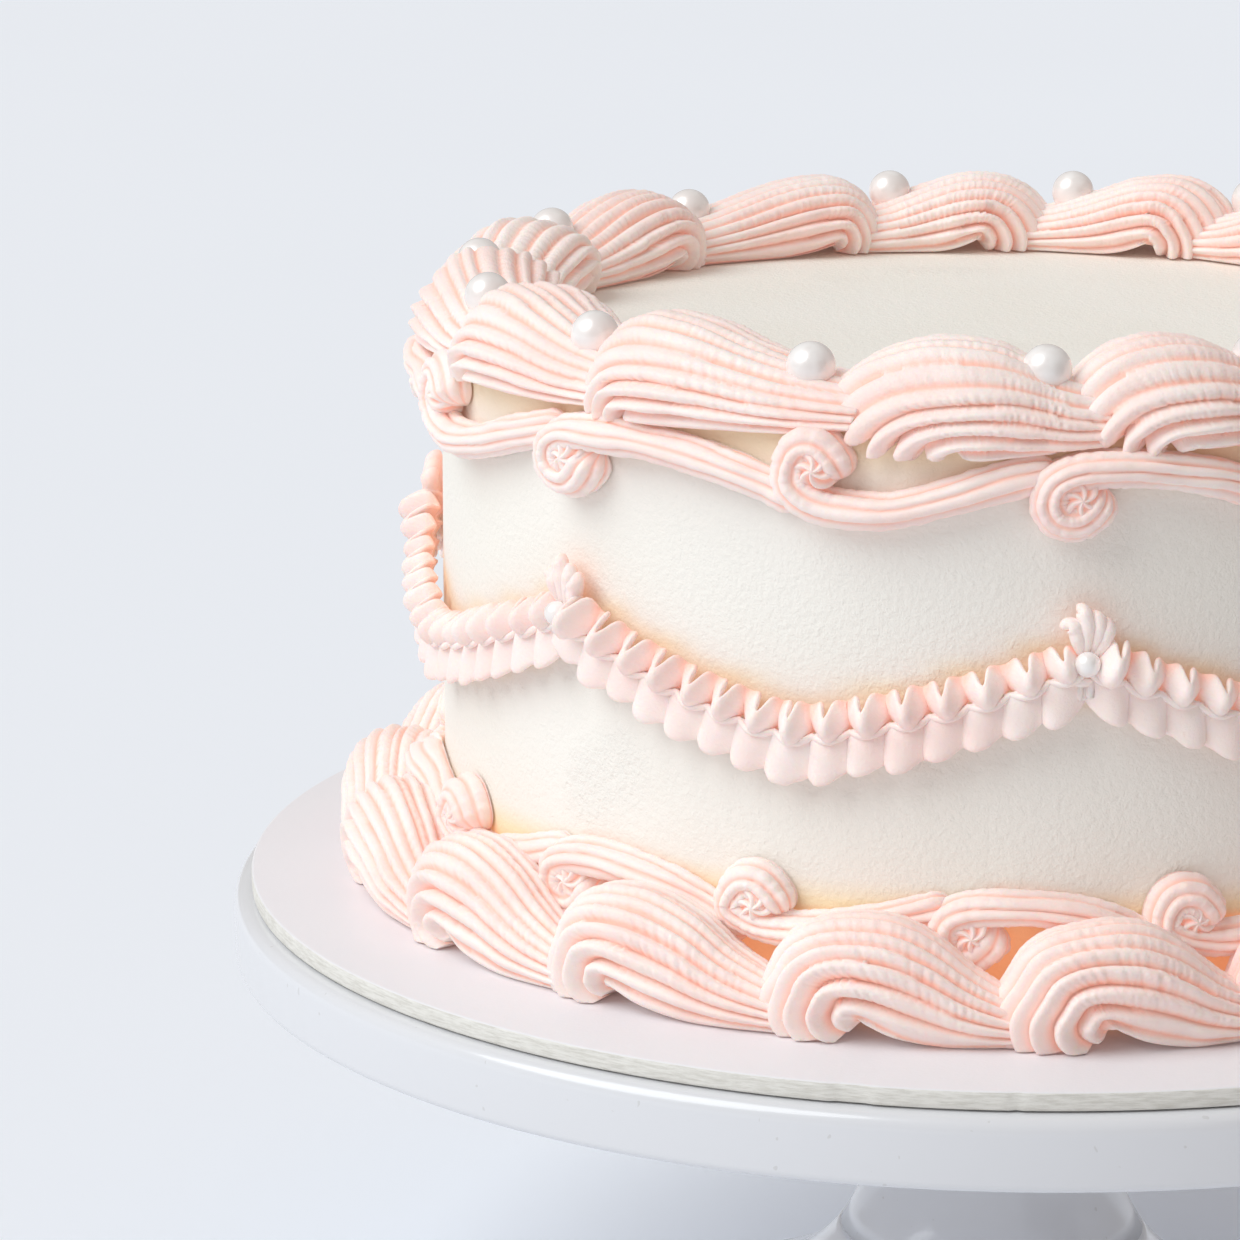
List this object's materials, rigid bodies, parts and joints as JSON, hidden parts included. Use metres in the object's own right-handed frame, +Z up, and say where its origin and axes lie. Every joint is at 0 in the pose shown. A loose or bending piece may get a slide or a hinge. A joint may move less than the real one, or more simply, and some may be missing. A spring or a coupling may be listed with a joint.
{
  "type": "piped celebration cake on pedestal stand",
  "caption": "Round ivory frosted cake with blush piped shell borders, scrolls, a ruffled swag garland and sugar pearls, on its board and a white pedestal stand.",
  "frame": {"origin": "middle of the stand's foot, on the surface it stands on", "axes": "+Z up through the cake, -Y towards the front that the picture shows"},
  "size_m": [0.2866, 0.2866, 0.2204],
  "materials": {
    "stand": "white glossy glaze",
    "board": "smooth white laminated face, pale fibre edge",
    "ivory_icing": "ivory frosting, smoothed, with a fine pebbled grain",
    "blush_icing": "blush pink piped frosting, satin",
    "sugar_pearl": "white pearl lustre"
  },
  "bodies": {
    "root": {"stand": "stand", "cake_board": "board", "cake_body": "ivory_icing", "top_shell_01": "blush_icing", "top_shell_02": "blush_icing", "top_shell_03": "blush_icing", "top_shell_04": "blush_icing", "top_shell_05": "blush_icing", "top_shell_06": "blush_icing", "top_shell_07": "blush_icing", "top_shell_08": "blush_icing", "top_shell_09": "blush_icing", "top_shell_10": "blush_icing", "top_shell_11": "blush_icing", "top_shell_12": "blush_icing", "top_shell_13": "blush_icing", "top_shell_14": "blush_icing", "top_shell_15": "blush_icing", "top_shell_16": "blush_icing", "bottom_shell_01": "blush_icing", "bottom_shell_02": "blush_icing", "bottom_shell_03": "blush_icing", "bottom_shell_04": "blush_icing", "bottom_shell_05": "blush_icing", "bottom_shell_06": "blush_icing", "bottom_shell_07": "blush_icing", "bottom_shell_08": "blush_icing", "bottom_shell_09": "blush_icing", "bottom_shell_10": "blush_icing", "bottom_shell_11": "blush_icing", "bottom_shell_12": "blush_icing", "bottom_shell_13": "blush_icing", "bottom_shell_14": "blush_icing", "bottom_shell_15": "blush_icing", "bottom_shell_16": "blush_icing", "bottom_shell_17": "blush_icing", "bottom_shell_18": "blush_icing", "top_pearl_01": "sugar_pearl", "top_pearl_02": "sugar_pearl", "top_pearl_03": "sugar_pearl", "top_pearl_04": "sugar_pearl", "top_pearl_05": "sugar_pearl", "top_pearl_06": "sugar_pearl", "top_pearl_07": "sugar_pearl", "top_pearl_08": "sugar_pearl", "top_pearl_09": "sugar_pearl", "top_pearl_10": "sugar_pearl", "top_pearl_11": "sugar_pearl", "top_pearl_12": "sugar_pearl", "top_pearl_13": "sugar_pearl", "top_pearl_14": "sugar_pearl", "top_pearl_15": "sugar_pearl", "top_pearl_16": "sugar_pearl", "top_scrolls": "blush_icing", "bottom_scrolls": "blush_icing", "swag_garland": "blush_icing"}
  },
  "joints": []
}
